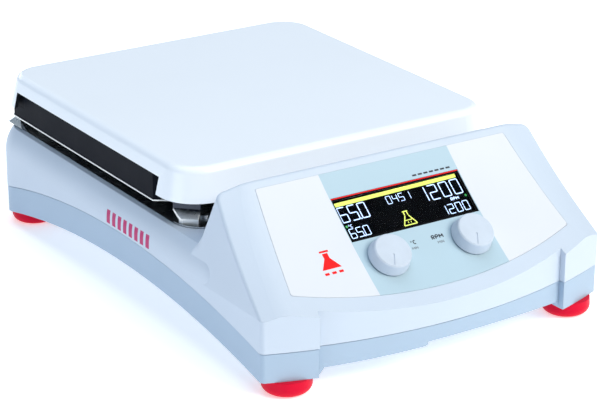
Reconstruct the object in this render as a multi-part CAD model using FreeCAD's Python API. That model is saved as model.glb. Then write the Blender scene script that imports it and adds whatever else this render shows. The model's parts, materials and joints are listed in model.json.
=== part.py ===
import FreeCAD, Part
import math
import os

# Hotplate stirrer with a 10-inch class ceramic plate. Millimetres, +Z up, front towards -Y.
# The origin is on the bench, under the middle of the whole machine.

# Driving dimensions
PLATE_Y = 50.0              # centre of the plate, the heater and the stirring axis
PLATE_TOP = 116.0           # vessel surface above the bench
PLATE_HALF_X = 127.0
PLATE_HALF_Y = 130.0
PLATE_CORNER = 24.0
PLATE_EDGE = 5.7            # rounding round the vessel surface
PLATE_FLARE = 0.241         # outward slope of the skirt
PLATE_WALL = 2.6
PLATE_THICK = 6.0
SKIRT_DEPTH = 23.2
WINDOW_DEPTH = 11.3         # the skirt is cut away below this on both sides
WINDOW_FRONT = -50.2
WINDOW_REAR = 157.7

BODY_HALF_X = 136.3
BODY_REAR = 189.5
REAR_CORNER = 32.0
FRONT_RADIUS = 360.0        # the front is an arc in plan
FRONT_APEX = -211.5
BLOCK_PROUD = 4.7           # the front corner blocks stand this far in front of the arc
BLOCK_LEFT_X = 100.3        # inner edges of the two blocks
BLOCK_RIGHT_X = 95.8
WALL = 3.0
PARTING_RADIUS = 730.0
ARCH_RADIUS = 770.0
ARCH_Y = -12.0              # both side arches are highest here
PARTING_APEX = 52.5
ARCH_APEX = 31.2
ARCH_FRONT_Y = -186.0
ARCH_REAR_Y = 170.0
FRONT_ARCH_RADIUS = 1005.0
FRONT_ARCH_APEX = 20.5
# Lowered strip of the front edge, left of the middle, seen from the front: X and Z
FRONT_SKID = ((-94.0, 15.9), (-24.0, 17.6), (-22.4, 18.4), (-22.0, 22.0), (-94.0, 22.0))
SEAM = 0.5                  # open groove between the two shells
POST_Z = 32.0               # the screw posts of the two shells meet here

RIM_Z = 75.4                # top of the housing beside the tray
SHOULDER_Z = 57.0
SHOULDER_RADIUS = 28.0
POCKET_FLOOR = 70.0
POCKET_CORNER = 22.0
DECK_UNDER = 67.0
DECK_HOLE = 46.0
LEAN_Z = 54.0
LEAN_DEG = 9.5

PANEL_TOP = (-125.6, 114.6)
PANEL_FOOT = (-211.5, 46.5)
PANEL_RADIUS = 580.0        # the panel is slightly hollow from top to bottom
CREST_RADIUS = 2.5
CREST_Y = -119.8            # sharp top of the console before it is rounded
RISER_FOOT = (-107.9, 85.25)
RISER_LEAN = 18.8
RISER_EDGE = 5.5            # rounding where the riser meets the sides
RAMP_RADIUS = 27.0
BORDER_RADIUS = 30.0
BORDER_DROP = 1.4           # vertical offset of the border for each millimetre of wall
# The sloped border beside the panel: Y, height of its outer edge, slope. It flattens upwards.
BORDER = (
    (-235.0, 21.5, 0.58), (-190.1, 52.5, 0.55), (-160.3, 75.3, 0.50), (-139.4, 94.0, 0.43),
    (-121.0, 113.2, 0.28), (-104.0, 133.4, 0.15))

KNOB_LEFT_X = -32.0
KNOB_RIGHT_X = 34.8
KNOB_Y = -178.2
KNOB_FACE = 13.0
KNOB_BASE = 14.5
KNOB_GAP = 1.2
KNOB_TOP = 9.4
POINTER_TURN = -26.0        # degrees of the dials' grooves from straight down the panel
SHAFT_R = 3.0
FIT = 0.05                  # radial clearance of every running fit
BUSH_R = 4.3                # threaded neck of each encoder
DISPLAY_Y = -151.9
DISPLAY_X = 52.4
DISPLAY_H = 33.6
OVERLAY_TOP_X = 100.4
OVERLAY_FOOT_X = 111.5
OVERLAY_TOP_Y = -125.8
OVERLAY_FOOT_APEX = -201.5
OVERLAY_RADIUS = 390.0
OVERLAY_CORNER = 1.5
STRIP_X = 52.0
FILM = 0.5
FILM_PROUD = 0.1
LENS_BACK = -1.3
LCD_FACE = -1.5             # front and back of the display's glass, below the panel surface
LCD_BACK = -2.4
BOARD_TOP = -13.0           # display board below the panel surface, along the panel's normal
ENCODER_LOW = -12.6
ENCODER_TOP = -5.2
PLUNGER_LOW = -9.6

FOOT_X = 114.0
FOOT_Y = (-184.0, 166.0)
FOOT_R = 16.8
PLUG_R = 4.0

PAN_HALF_X = 124.0
PAN_FRONT = -68.0
PAN_REAR = 176.0
PAN_BOTTOM = 82.6
PAN_CHAMFER_X = 48.0
PAN_CHAMFER_Y = 34.0
PAN_REAR_RADIUS = 21.5
PAN_FOOT_RADIUS = 4.0
PAN_STEP_Z = 92.0
TRAY_HALF_X = 124.4
TRAY_FRONT = -84.0
TRAY_REAR = 179.0
TRAY_RIM = 74.6
TRAY_LIP = 76.2             # the front end of the rim stands a little higher
TRAY_LIP_Y = -62.0
FENCE_LOW = 76.6            # the flared fence round the rear end clears the housing's rim
FENCE_TOP = 81.2
FENCE_LOW_X = 127.0
FENCE_TOP_X = 122.6
FENCE_LOW_REAR = 181.2
FENCE_TOP_REAR = 176.8
FENCE_CORNER = 4.5
FENCE_FRONT_LOW = 150.5     # its front end slopes back
FENCE_FRONT_TOP = 167.0
BRACKET_X = 116.8
BRACKET_Y = -66.2

WELL_R = 58.0
WELL_TOP = 95.0
MAGNET_PITCH = 62.0
ROD_X = 90.0
ROD_HOLE_R = 6.45
BOSS_DEPTH = 22.0
REAR_Z = 43.0               # height of the sockets on the back
INLET_X = -92.0
SWITCH_X = -50.0
FUSE_X = -22.0
FUSE_R = 7.5
FUSE_CAP_R = 6.2
JACK_X = 20.0
JACK_R = 5.6
JACK_HOLE_R = 3.2
SWITCH_PIVOT_Y = 189.0
ROCKER_TILT = 8.0
INLET_CAVITY_X = 12.0
INLET_CAVITY_Z = 8.2
LOCK_R = 3.0
MOTOR_LOW = 34.0
MOTOR_PLATE_LOW = 65.0
MOTOR_SHAFT_R = 3.0
BEARING_R = 8.0
YOKE_LOW = 82.5
BOARD_Z = 28.0


def vec(x, y, z):
    return FreeCAD.Vector(x, y, z)


def box(x0, x1, y0, y1, z0, z1):
    return Part.makeBox(x1 - x0, y1 - y0, z1 - z0, vec(x0, y0, z0))


def rod(radius, start, axis, length):
    return Part.makeCylinder(radius, length, vec(*start), vec(*axis))


def ring(outer, inner, start, axis, length):
    return rod(outer, start, axis, length).cut(rod(inner, start, axis, length))


def compound(shapes):
    return Part.makeCompound(list(shapes))


def fuse(shapes):
    whole = shapes[0].multiFuse(shapes[1:])
    return whole.removeSplitter()


def mirrored(shape):
    return shape.mirror(vec(0, 0, 0), vec(1, 0, 0))


def both_sides(shape):
    return [shape, mirrored(shape)]


def rounded_wire(half_x, y0, y1, radius, z):
    """A rectangle with round corners, symmetric about X = 0."""
    bow = radius * (1 - math.sqrt(0.5))
    edges = []
    corners = [(half_x, y1, -1, -1), (-half_x, y1, 1, -1), (-half_x, y0, 1, 1), (half_x, y0, -1, 1)]
    ends = []
    for index, (x, y, sx, sy) in enumerate(corners):
        along_y = vec(x, y + sy * radius, z)
        along_x = vec(x + sx * radius, y, z)
        middle = vec(x + sx * bow, y + sy * bow, z)
        first, last = (along_y, along_x) if index % 2 == 0 else (along_x, along_y)
        ends.append((first, last))
        edges.append(Part.Arc(first, middle, last).toShape())
    for index in range(4):
        edges.append(Part.LineSegment(ends[index][1], ends[(index + 1) % 4][0]).toShape())
    return Part.Wire(Part.__sortEdges__(edges))


def rounded_block(half_x, y0, y1, radius, z0, z1):
    wire = rounded_wire(half_x, y0, y1, radius, z0)
    return Part.Face(wire).extrude(vec(0, 0, z1 - z0))


def side_prism(edges, half_x):
    """Sweeps a closed outline of the Y-Z plane across the machine."""
    wire = Part.Wire(Part.__sortEdges__(edges))
    wire.translate(vec(-half_x, 0, 0))
    return Part.Face(wire).extrude(vec(2 * half_x, 0, 0))


def plan_prism(points, z0, z1):
    corners = [vec(x, y, z0) for x, y in points]
    return Part.Face(Part.makePolygon(corners + corners[:1])).extrude(vec(0, 0, z1 - z0))


def front_prism(points, y0, y1):
    corners = [vec(x, y0, z) for x, z in points]
    return Part.Face(Part.makePolygon(corners + corners[:1])).extrude(vec(0, y1 - y0, 0))


def line(a, b):
    return Part.LineSegment(vec(0, *a), vec(0, *b)).toShape()


def arc(a, middle, b):
    return Part.Arc(vec(0, *a), vec(0, *middle), vec(0, *b)).toShape()


def beyond(point, normal):
    """Everything on the far side of a plane."""
    size = 700.0
    block = Part.makeBox(size, size, size, vec(-size / 2, -size / 2, 0))
    block.Placement = FreeCAD.Placement(point, FreeCAD.Rotation(vec(0, 0, 1), normal))
    return block


def edges_near(shape, test):
    return [edge for edge in shape.Edges if test(edge.BoundBox)]


# The panel's circle in the Y-Z plane
CHORD_Y = PANEL_FOOT[0] - PANEL_TOP[0]
CHORD_Z = PANEL_FOOT[1] - PANEL_TOP[1]
CHORD = math.hypot(CHORD_Y, CHORD_Z)
RISE = math.sqrt(PANEL_RADIUS ** 2 - CHORD ** 2 / 4)
PANEL_CY = (PANEL_TOP[0] + PANEL_FOOT[0]) / 2 + RISE * CHORD_Z / CHORD
PANEL_CZ = (PANEL_TOP[1] + PANEL_FOOT[1]) / 2 - RISE * CHORD_Y / CHORD


def panel_z(y, depth=0.0):
    """Height of the panel surface, or of the surface that lies depth below it."""
    radius = PANEL_RADIUS + depth
    return PANEL_CZ - math.sqrt(radius ** 2 - (y - PANEL_CY) ** 2)


def panel_angle(y):
    return math.degrees(math.asin((y - PANEL_CY) / PANEL_RADIUS))


def on_panel(shape, x, y):
    """Moves a shape made with +Z out of the panel and +Y up it to a place on the panel."""
    turn = FreeCAD.Rotation(vec(1, 0, 0), panel_angle(y))
    moved = shape.copy()
    moved.Placement = FreeCAD.Placement(vec(x, y, panel_z(y)), turn).multiply(shape.Placement)
    return moved


# Housing form: the rear tub, and the console that carries the panel

def bow_z(apex, radius, y):
    return apex - radius + math.sqrt(radius ** 2 - (y - ARCH_Y) ** 2)


def arch_z(y):
    """Underside of the base, seen from the side."""
    return bow_z(ARCH_APEX, ARCH_RADIUS, y)


def side_region(apex, radius, front_y, rear_y, lift):
    """The space under a side arch that runs flat in front of front_y and behind rear_y."""
    front = (front_y, bow_z(apex, radius, front_y))
    rear = (rear_y, bow_z(apex, radius, rear_y))
    low = -60.0
    far = 300.0
    edges = [
        line((-far, low), (-far, front[1])),
        line((-far, front[1]), front),
        arc(front, (ARCH_Y, apex), rear),
        line(rear, (far, rear[1])),
        line((far, rear[1]), (far, low)),
        line((far, low), (-far, low)),
    ]
    region = side_prism(edges, far)
    region.translate(vec(0, 0, lift))
    return region


def plan_form(inset, z0, z1):
    """The body's plan outline, inset by a wall thickness, as a prism."""
    slab = rounded_block(BODY_HALF_X - inset, -260.0, BODY_REAR - inset, REAR_CORNER - inset, z0, z1)
    centre_y = FRONT_APEX + FRONT_RADIUS
    height = z1 - z0
    middle = slab.common(rod(FRONT_RADIUS - inset, (0, centre_y, z0), (0, 0, 1), height))
    whole = slab.common(rod(FRONT_RADIUS - inset, (0, centre_y - BLOCK_PROUD, z0), (0, 0, 1), height))
    blocks = []
    for sign, edge in ((-1, BLOCK_LEFT_X + inset), (1, BLOCK_RIGHT_X + inset)):
        zone = [(edge - 0.7, -180), (edge - 0.7, -195), (edge + 1.3, -212), (200, -212), (200, -180)]
        blocks.append(whole.common(plan_prism([(sign * x, y) for x, y in zone], z0, z1)))
    form = fuse([middle] + blocks)
    corner_r = max(4.0 - inset, 0.6)

    def is_front_corner(bound):
        return bound.ZLength > height - 1 and bound.YMax < -150 and bound.XLength < 0.1 and (
            abs(abs(bound.XMin) - (BODY_HALF_X - inset)) < 0.1)

    return form.makeFillet(corner_r, edges_near(form, is_front_corner))


def tub(inset):
    top = SHOULDER_Z + SHOULDER_RADIUS - inset
    block = rounded_block(
        BODY_HALF_X - inset, -150.0 + inset, BODY_REAR - inset, REAR_CORNER - inset, 0.0, top)
    rim = edges_near(block, lambda bound: bound.ZMin > top - 0.01)
    rounded = block.makeFillet(SHOULDER_RADIUS - inset, rim)
    return rounded.common(box(-200, 200, -300, 300, 0, RIM_Z - inset))


def console_outline(inset):
    """Side view of the console: hollow panel, rear riser and the ramp behind it."""
    far_y = -240.0
    crest_y = CREST_Y - inset
    crest = (crest_y, panel_z(crest_y, inset))
    middle_y = (far_y + crest_y) / 2
    foot = (RISER_FOOT[0] - inset, RISER_FOOT[1])
    ramp_r = RAMP_RADIUS + inset
    lean = math.radians(RISER_LEAN)
    centre = (foot[0] + ramp_r * math.cos(lean), foot[1] + ramp_r * math.sin(lean))
    ramp_end = (centre[0], centre[1] - ramp_r)
    half = (lean + math.pi / 2) / 2
    ramp_middle = (centre[0] - ramp_r * math.cos(half), centre[1] - ramp_r * math.sin(half))
    back_y = ramp_end[0] + 8.0
    front = (far_y, panel_z(far_y, inset))
    return [
        arc(front, (middle_y, panel_z(middle_y, inset)), crest),
        line(crest, foot),
        arc(foot, ramp_middle, ramp_end),
        line(ramp_end, (back_y, ramp_end[1])),
        line((back_y, ramp_end[1]), (back_y, 0)),
        line((back_y, 0), (far_y, 0)),
        line((far_y, 0), front),
    ]


def side_space(inset):
    """Everything beyond the leaning side of the console, on +X."""
    lean = math.radians(LEAN_DEG)
    normal = vec(math.cos(lean), 0, math.sin(lean))
    return beyond(vec(BODY_HALF_X, 0, LEAN_Z) - normal * inset, normal)


def border_space(inset):
    """Everything above the sloped border, on +X."""
    inner_x, outer_x, top = 60.0, 165.0, 230.0
    sections = []
    for y, z, slope in BORDER:
        side_x = BODY_HALF_X - math.tan(math.radians(LEAN_DEG)) * (z - LEAN_Z)
        inner_z = z + slope * (side_x - inner_x)
        outer_z = z - slope * (outer_x - side_x)
        section = [(inner_x, inner_z), (outer_x, outer_z), (outer_x, top), (inner_x, top), (inner_x, inner_z)]
        sections.append(Part.makePolygon([vec(x, y, height) for x, height in section]))
    space = Part.makeLoft(sections, True, False)
    space.translate(vec(0, 0, -BORDER_DROP * inset))
    return space


def soften(block):
    """Rounds the riser's side edges and the panel's borders, then the side creases and the crest."""
    def is_upright(bound):
        return bound.ZLength > 15 and -126 < bound.YMin and abs(bound.Center.x) > 120 and bound.YMax < -84

    def is_border(bound):
        return bound.YLength > 80 and bound.ZLength > 50 and 100 < abs(bound.Center.x) < 121

    def is_rim(bound):
        crease = bound.YLength > 40 and bound.ZLength > 30 and abs(bound.Center.x) > 125
        return crease or (bound.ZMin > 110 and bound.YLength < 10)

    block = block.makeFillet(RISER_EDGE, edges_near(block, is_upright))
    block = block.makeFillet(BORDER_RADIUS, edges_near(block, is_border))
    return block.makeFillet(CREST_RADIUS, edges_near(block, is_rim))


def console(inset):
    block = side_prism(console_outline(inset), BODY_HALF_X - inset)
    for space in both_sides(side_space(inset)) + both_sides(border_space(inset)):
        block = block.cut(space)
    if inset == 0:
        block = soften(block)
    return block.common(plan_form(inset, 0, 130))


def housing_form(inset):
    return fuse([tub(inset), console(inset)])


def under_parting(drop):
    return side_region(PARTING_APEX, PARTING_RADIUS, ARCH_FRONT_Y, ARCH_REAR_Y - 2.0, -drop)


def under_arch(lift):
    """The open space under the machine, with its roof raised by lift."""
    space = side_region(ARCH_APEX, ARCH_RADIUS, ARCH_FRONT_Y, ARCH_REAR_Y, lift)
    centre_z = FRONT_ARCH_APEX - FRONT_ARCH_RADIUS + lift
    front = rod(FRONT_ARCH_RADIUS, (0, -230, centre_z), (0, 1, 0), 60)
    slant = 6.0
    low, high = 8.0, 16.4
    outline = [
        (-BLOCK_LEFT_X, -10), (-BLOCK_LEFT_X, low), (slant - BLOCK_LEFT_X, high), (slant - BLOCK_LEFT_X, 40),
        (BLOCK_RIGHT_X - 1, 40), (BLOCK_RIGHT_X - 1, high), (BLOCK_RIGHT_X + 1, low), (BLOCK_RIGHT_X + 1, -10)]
    return space.fuse(front.common(front_prism(outline, -230, -170)))


# Openings shared by the housing and the pieces set into it

def panel_window(half_x, half_up, depth, proud):
    block = box(-half_x, half_x, -half_up, half_up, -depth, proud)
    return on_panel(block, 0, DISPLAY_Y)


def knob_hole(radius, x):
    return on_panel(rod(radius, (0, 0, -12), (0, 0, 1), 20), x, KNOB_Y)


def tray_outline(gap, z0, z1):
    return rounded_block(
        TRAY_HALF_X + gap, TRAY_FRONT - gap, TRAY_REAR + gap, POCKET_CORNER - 2 + gap, z0, z1)


def film_layer(low, high):
    """A film that follows the panel, between two depths below its surface."""
    far_y, near_y = -240.0, -118.0
    middle_y = (far_y + near_y) / 2
    top = [(y, panel_z(y, low)) for y in (far_y, middle_y, near_y)]
    bottom = [(y, panel_z(y, high)) for y in (far_y, middle_y, near_y)]
    edges = [arc(*top), arc(*bottom), line(top[0], bottom[0]), line(top[2], bottom[2])]
    return side_prism(edges, 130)


def overlay_plan(margin):
    foot_corner_y = OVERLAY_FOOT_APEX + OVERLAY_RADIUS
    foot_corner_y -= math.sqrt(OVERLAY_RADIUS ** 2 - OVERLAY_FOOT_X ** 2)
    top_y = OVERLAY_TOP_Y + margin
    left_foot = vec(-OVERLAY_FOOT_X - margin, foot_corner_y - margin, 20)
    right_foot = vec(OVERLAY_FOOT_X + margin, foot_corner_y - margin, 20)
    left_top = vec(-OVERLAY_TOP_X - margin, top_y, 20)
    right_top = vec(OVERLAY_TOP_X + margin, top_y, 20)
    apex = vec(0, OVERLAY_FOOT_APEX - margin, 20)
    edges = [
        Part.Arc(left_foot, apex, right_foot).toShape(),
        Part.LineSegment(right_foot, right_top).toShape(),
        Part.LineSegment(right_top, left_top).toShape(),
        Part.LineSegment(left_top, left_foot).toShape(),
    ]
    block = Part.Face(Part.Wire(edges)).extrude(vec(0, 0, 110))
    upright = edges_near(block, lambda bound: bound.ZLength > 100)
    return block.makeFillet(OVERLAY_CORNER, upright)


def strip_plan():
    return box(-STRIP_X, STRIP_X, -230, -100, 20, 130)


def rear_cutouts():
    y0 = BODY_REAR - 6
    inlet = box(INLET_X - 13.7, INLET_X + 13.7, y0, y0 + 12, REAR_Z - 10.2, REAR_Z + 10.2)
    switch = box(SWITCH_X - 9.7, SWITCH_X + 9.7, y0, y0 + 12, REAR_Z - 6.5, REAR_Z + 6.5)
    fuse_hole = rod(FUSE_R + 0.1, (FUSE_X, y0, REAR_Z), (0, 1, 0), 12)
    jack = rod(JACK_R + 0.1, (JACK_X, y0, REAR_Z), (0, 1, 0), 12)
    bolts = [rod(1.7, (ROD_X + dx, y0, REAR_Z), (0, 1, 0), 12) for dx in (-10, 10)]
    return [inlet, switch, fuse_hole, jack] + bolts


# Shells

def deck_screw_places():
    return [(sx * 96.0, PLATE_Y + sy * 104.0) for sx in (-1, 1) for sy in (-1, 1)]


def shell_screw_places():
    return [(sx * 100.0, y) for sx in (-1, 1) for y in (-160.0, 150.0)]


def make_upper_housing():
    form = housing_form(0)
    shell = form.cut(housing_form(WALL))
    deck = tray_outline(4.0, DECK_UNDER, RIM_Z).common(form)
    shell = fuse([shell, deck])
    shell = shell.cut(tray_outline(0.6, POCKET_FLOOR, RIM_Z + 30))
    shell = shell.cut(rod(DECK_HOLE, (0, PLATE_Y, 60), (0, 0, 1), 20))
    shell = shell.cut(under_parting(0))
    posts = []
    for x, y in shell_screw_places():
        top = DECK_UNDER + 1 if y > 0 else panel_z(y, WALL) + 1
        posts.append(rod(5.5, (x, y, POST_Z), (0, 0, 1), top - POST_Z))
    shell = shell.multiFuse(posts)
    for x, y in shell_screw_places():
        shell = shell.cut(rod(1.6, (x, y, 20), (0, 0, 1), 30))
    for x, y in deck_screw_places():
        shell = shell.cut(rod(1.6, (x, y, DECK_UNDER - 1), (0, 0, 1), 10))
    for x, y in motor_plate_screws():
        shell = shell.cut(rod(1.3, (x, y, DECK_UNDER - 1), (0, 0, 1), 10))
    pocket = film_layer(-5, FILM).common(overlay_plan(0.2))
    shell = shell.cut(pocket)
    shell = shell.cut(panel_window(DISPLAY_X - 1.5, DISPLAY_H / 2 - 1.5, 12, 3))
    shell = shell.cut(panel_window(DISPLAY_X - 1.0, DISPLAY_H / 2, 0.6, 3))
    for x in (KNOB_LEFT_X, KNOB_RIGHT_X):
        shell = shell.cut(knob_hole(BUSH_R + 0.1, x))
    for hole in rear_cutouts():
        shell = shell.cut(hole)
    return shell


def make_lower_base():
    outer = plan_form(0.4, 0, 70)
    inner = plan_form(WALL + 0.4, 0, 70)
    space = under_arch(0)
    shell = outer.common(under_parting(SEAM)).cut(space)
    cavity = inner.cut(under_arch(WALL))
    shell = shell.cut(cavity)
    lip = plan_form(WALL + 0.3, 0, 70).cut(plan_form(WALL + 1.8, 0, 70))
    lip = lip.common(under_parting(-2.5)).cut(under_parting(SEAM + 5))
    skid = front_prism(FRONT_SKID, -230, -180).common(outer).cut(inner)
    shell = fuse([shell, lip, skid])
    for x, y in shell_screw_places():
        post = rod(5.5, (x, y, 8), (0, 0, 1), POST_Z - 8).cut(under_arch(0))
        shell = shell.fuse(post)
        shell = shell.cut(rod(1.9, (x, y, 0), (0, 0, 1), 40))
        shell = shell.cut(rod(3.6, (x, y, 0), (0, 0, 1), 24))
    for x, y, _ in feet_places():
        shell = shell.cut(rod(PLUG_R, (x, y, 0), (0, 0, 1), 40))
    return shell.removeSplitter()


def feet_places():
    names = {(-1, 0): "front_left", (1, 0): "front_right", (-1, 1): "rear_left", (1, 1): "rear_right"}
    return [(sx * FOOT_X, FOOT_Y[row], name) for (sx, row), name in names.items()]


def make_foot(x, y):
    """A domed rubber pad shaped to the base, with a plug pressed up through it."""
    top = 17.0
    half = math.sqrt(0.5)
    dome = 6.0
    rim = vec(FOOT_R, 0, dome)
    flat = FOOT_R - dome
    middle = vec(flat + dome * half, 0, dome - dome * half)
    edges = [
        Part.LineSegment(vec(0, 0, 0), vec(flat, 0, 0)).toShape(),
        Part.Arc(vec(flat, 0, 0), middle, rim).toShape(),
        Part.LineSegment(rim, vec(FOOT_R - 0.6, 0, top)).toShape(),
        Part.LineSegment(vec(FOOT_R - 0.6, 0, top), vec(0, 0, top)).toShape(),
        Part.LineSegment(vec(0, 0, top), vec(0, 0, 0)).toShape(),
    ]
    pad = Part.Face(Part.Wire(edges)).revolve(vec(0, 0, 0), vec(0, 0, 1), 360)
    pad.translate(vec(x, y, 0))
    pad = pad.common(under_arch(0))
    plug = rod(PLUG_R, (x, y, 5), (0, 0, 1), arch_z(y) + WALL + 1 - 5)
    return pad.fuse(plug).removeSplitter()


# Plate, heater and tray

def flared_block(offset_top, offset_bottom, z_top, z_bottom):
    wires = []
    for offset, z in ((offset_bottom, z_bottom), (offset_top, z_top)):
        wires.append(rounded_wire(
            PLATE_HALF_X + offset, PLATE_Y - PLATE_HALF_Y - offset, PLATE_Y + PLATE_HALF_Y + offset,
            PLATE_CORNER + offset, z))
    return Part.makeLoft(wires, True, True)


def make_top_plate():
    rise = PLATE_FLARE * PLATE_EDGE
    spread = PLATE_FLARE * (SKIRT_DEPTH - PLATE_EDGE)
    bottom = PLATE_TOP - SKIRT_DEPTH
    plate = flared_block(-rise, spread, PLATE_TOP, bottom)
    top_edges = edges_near(plate, lambda bound: bound.ZMin > PLATE_TOP - 0.01)
    plate = plate.makeFillet(PLATE_EDGE, top_edges)
    slope = PLATE_FLARE * (SKIRT_DEPTH - PLATE_THICK)
    hollow = flared_block(
        spread - slope - PLATE_WALL, spread - PLATE_WALL, PLATE_TOP - PLATE_THICK, bottom)
    plate = plate.cut(hollow)
    for sign in (-1, 1):
        x0, x1 = sorted((sign * 112.0, sign * 140.0))
        plate = plate.cut(box(x0, x1, WINDOW_FRONT, WINDOW_REAR, bottom - 1, PLATE_TOP - WINDOW_DEPTH))
    return plate


def pan_outline(gap, rear_radius, z0, z1):
    """A rectangle with two large corners cut off in front and two round corners behind."""
    x = PAN_HALF_X + gap
    front = PAN_FRONT - gap
    rear = PAN_REAR + gap
    front_x = x - PAN_CHAMFER_X
    front_y = front + PAN_CHAMFER_Y
    block = plan_prism(
        [(-x, front_y), (-front_x, front), (front_x, front), (x, front_y), (x, rear), (-x, rear)], z0, z1)
    corners = edges_near(
        block, lambda bound: bound.YMin > rear - 0.01 and bound.ZLength > z1 - z0 - 0.01)
    return block.makeFillet(rear_radius + gap, corners)


def make_heater_pan():
    """The rear corners are rounder above the step, to clear the plate's skirt."""
    sheet = 1.2
    top = PLATE_TOP - PLATE_THICK
    upper = pan_outline(0, PAN_REAR_RADIUS, PAN_STEP_Z, top)
    lower = pan_outline(0, PAN_FOOT_RADIUS, PAN_BOTTOM, PAN_STEP_Z)
    pan = upper.fuse(lower)
    pan = pan.cut(pan_outline(-sheet, PAN_FOOT_RADIUS, PAN_BOTTOM - 1, PAN_STEP_Z - sheet))
    pan = pan.cut(pan_outline(-sheet, PAN_REAR_RADIUS, PAN_BOTTOM - 1, top - sheet))
    return pan.cut(pan_outline(-9, PAN_REAR_RADIUS, top - 3, top + 1)).removeSplitter()


def make_reflector_plate():
    """Closes the pan from below. A drawn well in its middle lets the drive magnets come up close."""
    sheet = 1.0
    plate = pan_outline(0.5, PAN_FOOT_RADIUS, PAN_BOTTOM - sheet, PAN_BOTTOM)
    z0 = PAN_BOTTOM - sheet
    plate = plate.cut(rod(WELL_R, (0, PLATE_Y, z0 - 1), (0, 0, 1), 5))
    wall = ring(WELL_R + sheet, WELL_R, (0, PLATE_Y, z0), (0, 0, 1), WELL_TOP - z0)
    roof = rod(WELL_R + sheet, (0, PLATE_Y, WELL_TOP), (0, 0, 1), sheet)
    return fuse([plate, wall, roof])


def make_insulation():
    low, high = WELL_TOP + 1.2, PLATE_TOP - PLATE_THICK - 3.4
    block = pan_outline(-10, PAN_REAR_RADIUS, low, high)
    return block.cut(box(-4, 4, PLATE_Y - 5, PAN_REAR, high - 5, high + 1))


def make_heating_element():
    top = PLATE_TOP - PLATE_THICK
    return pan_outline(-12, PAN_REAR_RADIUS, top - 3.0, top)


def fence_block(inset):
    """A block that narrows upwards, from the fence's foot to its top."""
    low = rounded_wire(FENCE_LOW_X - inset, 0, FENCE_LOW_REAR - inset, FENCE_CORNER - inset, FENCE_LOW)
    top = rounded_wire(FENCE_TOP_X - inset, 0, FENCE_TOP_REAR - inset, FENCE_CORNER - inset, FENCE_TOP)
    return Part.makeLoft([low, top], True, True)


def make_heat_shield():
    """Folded stainless tray. A flared fence with tight corners stands round its rear end."""
    sheet = 0.8
    rim = tray_outline(0, POCKET_FLOOR, TRAY_RIM)
    rim = rim.cut(tray_outline(-sheet, POCKET_FLOOR + sheet, TRAY_RIM))
    upper = tray_outline(0, TRAY_RIM, FENCE_TOP).cut(tray_outline(-sheet, TRAY_RIM, FENCE_TOP))
    lip = upper.common(box(-140, 140, -100, TRAY_LIP_Y, TRAY_RIM, TRAY_LIP))
    link_top = FENCE_TOP - 1.6
    behind = side_prism([
        line((FENCE_FRONT_LOW, TRAY_RIM), (FENCE_FRONT_TOP, FENCE_TOP)),
        line((FENCE_FRONT_TOP, FENCE_TOP), (200, FENCE_TOP)),
        line((200, FENCE_TOP), (200, TRAY_RIM)),
        line((200, TRAY_RIM), (FENCE_FRONT_LOW, TRAY_RIM))], 140)
    link = upper.common(box(-140, 140, 100, 200, TRAY_RIM, link_top)).common(behind)
    fence = fence_block(0).cut(fence_block(sheet)).common(behind)
    tray = fuse([rim, lip, link, fence])
    tray = tray.cut(rod(DECK_HOLE - 6, (0, PLATE_Y, 60), (0, 0, 1), 30))
    for x, y in deck_screw_places():
        tray = tray.cut(rod(2.0, (x, y, 60), (0, 0, 1), 20))
    return tray


def make_front_brackets():
    """Two bent straps across the front corners. Each reaches from the tray to the pan."""
    width = 19.0
    sheet = 1.4
    reach = 26.0
    base_z = POCKET_FLOOR + 0.8
    outline = [
        (-reach, 21.0), (-reach, 19.6), (-sheet, 19.6), (-sheet, 13.0), (4.4, 8.0), (4.4, 0),
        (5.8, 0), (5.8, 9.0), (0, 14.0), (0, 21.0)]
    corners = [vec(-width / 2, r, z) for r, z in outline]
    strap = Part.Face(Part.makePolygon(corners + corners[:1])).extrude(vec(width, 0, 0))
    straps = []
    for x, turn in ((-BRACKET_X, 135.0), (BRACKET_X, -135.0)):
        one = strap.copy()
        one.Placement = FreeCAD.Placement(vec(x, BRACKET_Y, base_z), FreeCAD.Rotation(vec(0, 0, 1), turn))
        one = one.common(tray_outline(-1.2, base_z, PLATE_TOP))
        straps.append(one.cut(pan_outline(0, PAN_FOOT_RADIUS, PAN_BOTTOM, PLATE_TOP)))
    return compound(straps)


def make_rear_brackets():
    """Two folded supports on the tray floor, under the back of the pan."""
    sheet = 1.4
    low = POCKET_FLOOR + 0.8
    high = PAN_BOTTOM - 1.0
    outline = [
        (0, low), (10, low), (10, high - sheet), (18, high - sheet), (18, high), (10 - sheet, high),
        (10 - sheet, low + sheet), (0, low + sheet)]
    supports = []
    for x in (-80.0, 80.0):
        corners = [vec(x - 10, 135 + y, z) for y, z in outline]
        supports.append(Part.Face(Part.makePolygon(corners + corners[:1])).extrude(vec(20, 0, 0)))
    return compound(supports)


# Control panel

def make_overlay():
    film = film_layer(-FILM_PROUD, FILM).common(overlay_plan(0))
    film = film.cut(strip_plan())
    holes = [knob_hole(BUSH_R + 0.3, x) for x in (KNOB_LEFT_X, KNOB_RIGHT_X)]
    return film.cut(compound(holes))


def make_centre_strip():
    film = film_layer(-FILM_PROUD, FILM).common(overlay_plan(0)).common(strip_plan())
    film = film.cut(panel_window(DISPLAY_X - 1.0, DISPLAY_H / 2, 12, 3))
    for x in (KNOB_LEFT_X, KNOB_RIGHT_X):
        film = film.cut(knob_hole(BUSH_R + 0.3, x))
    return film


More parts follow.
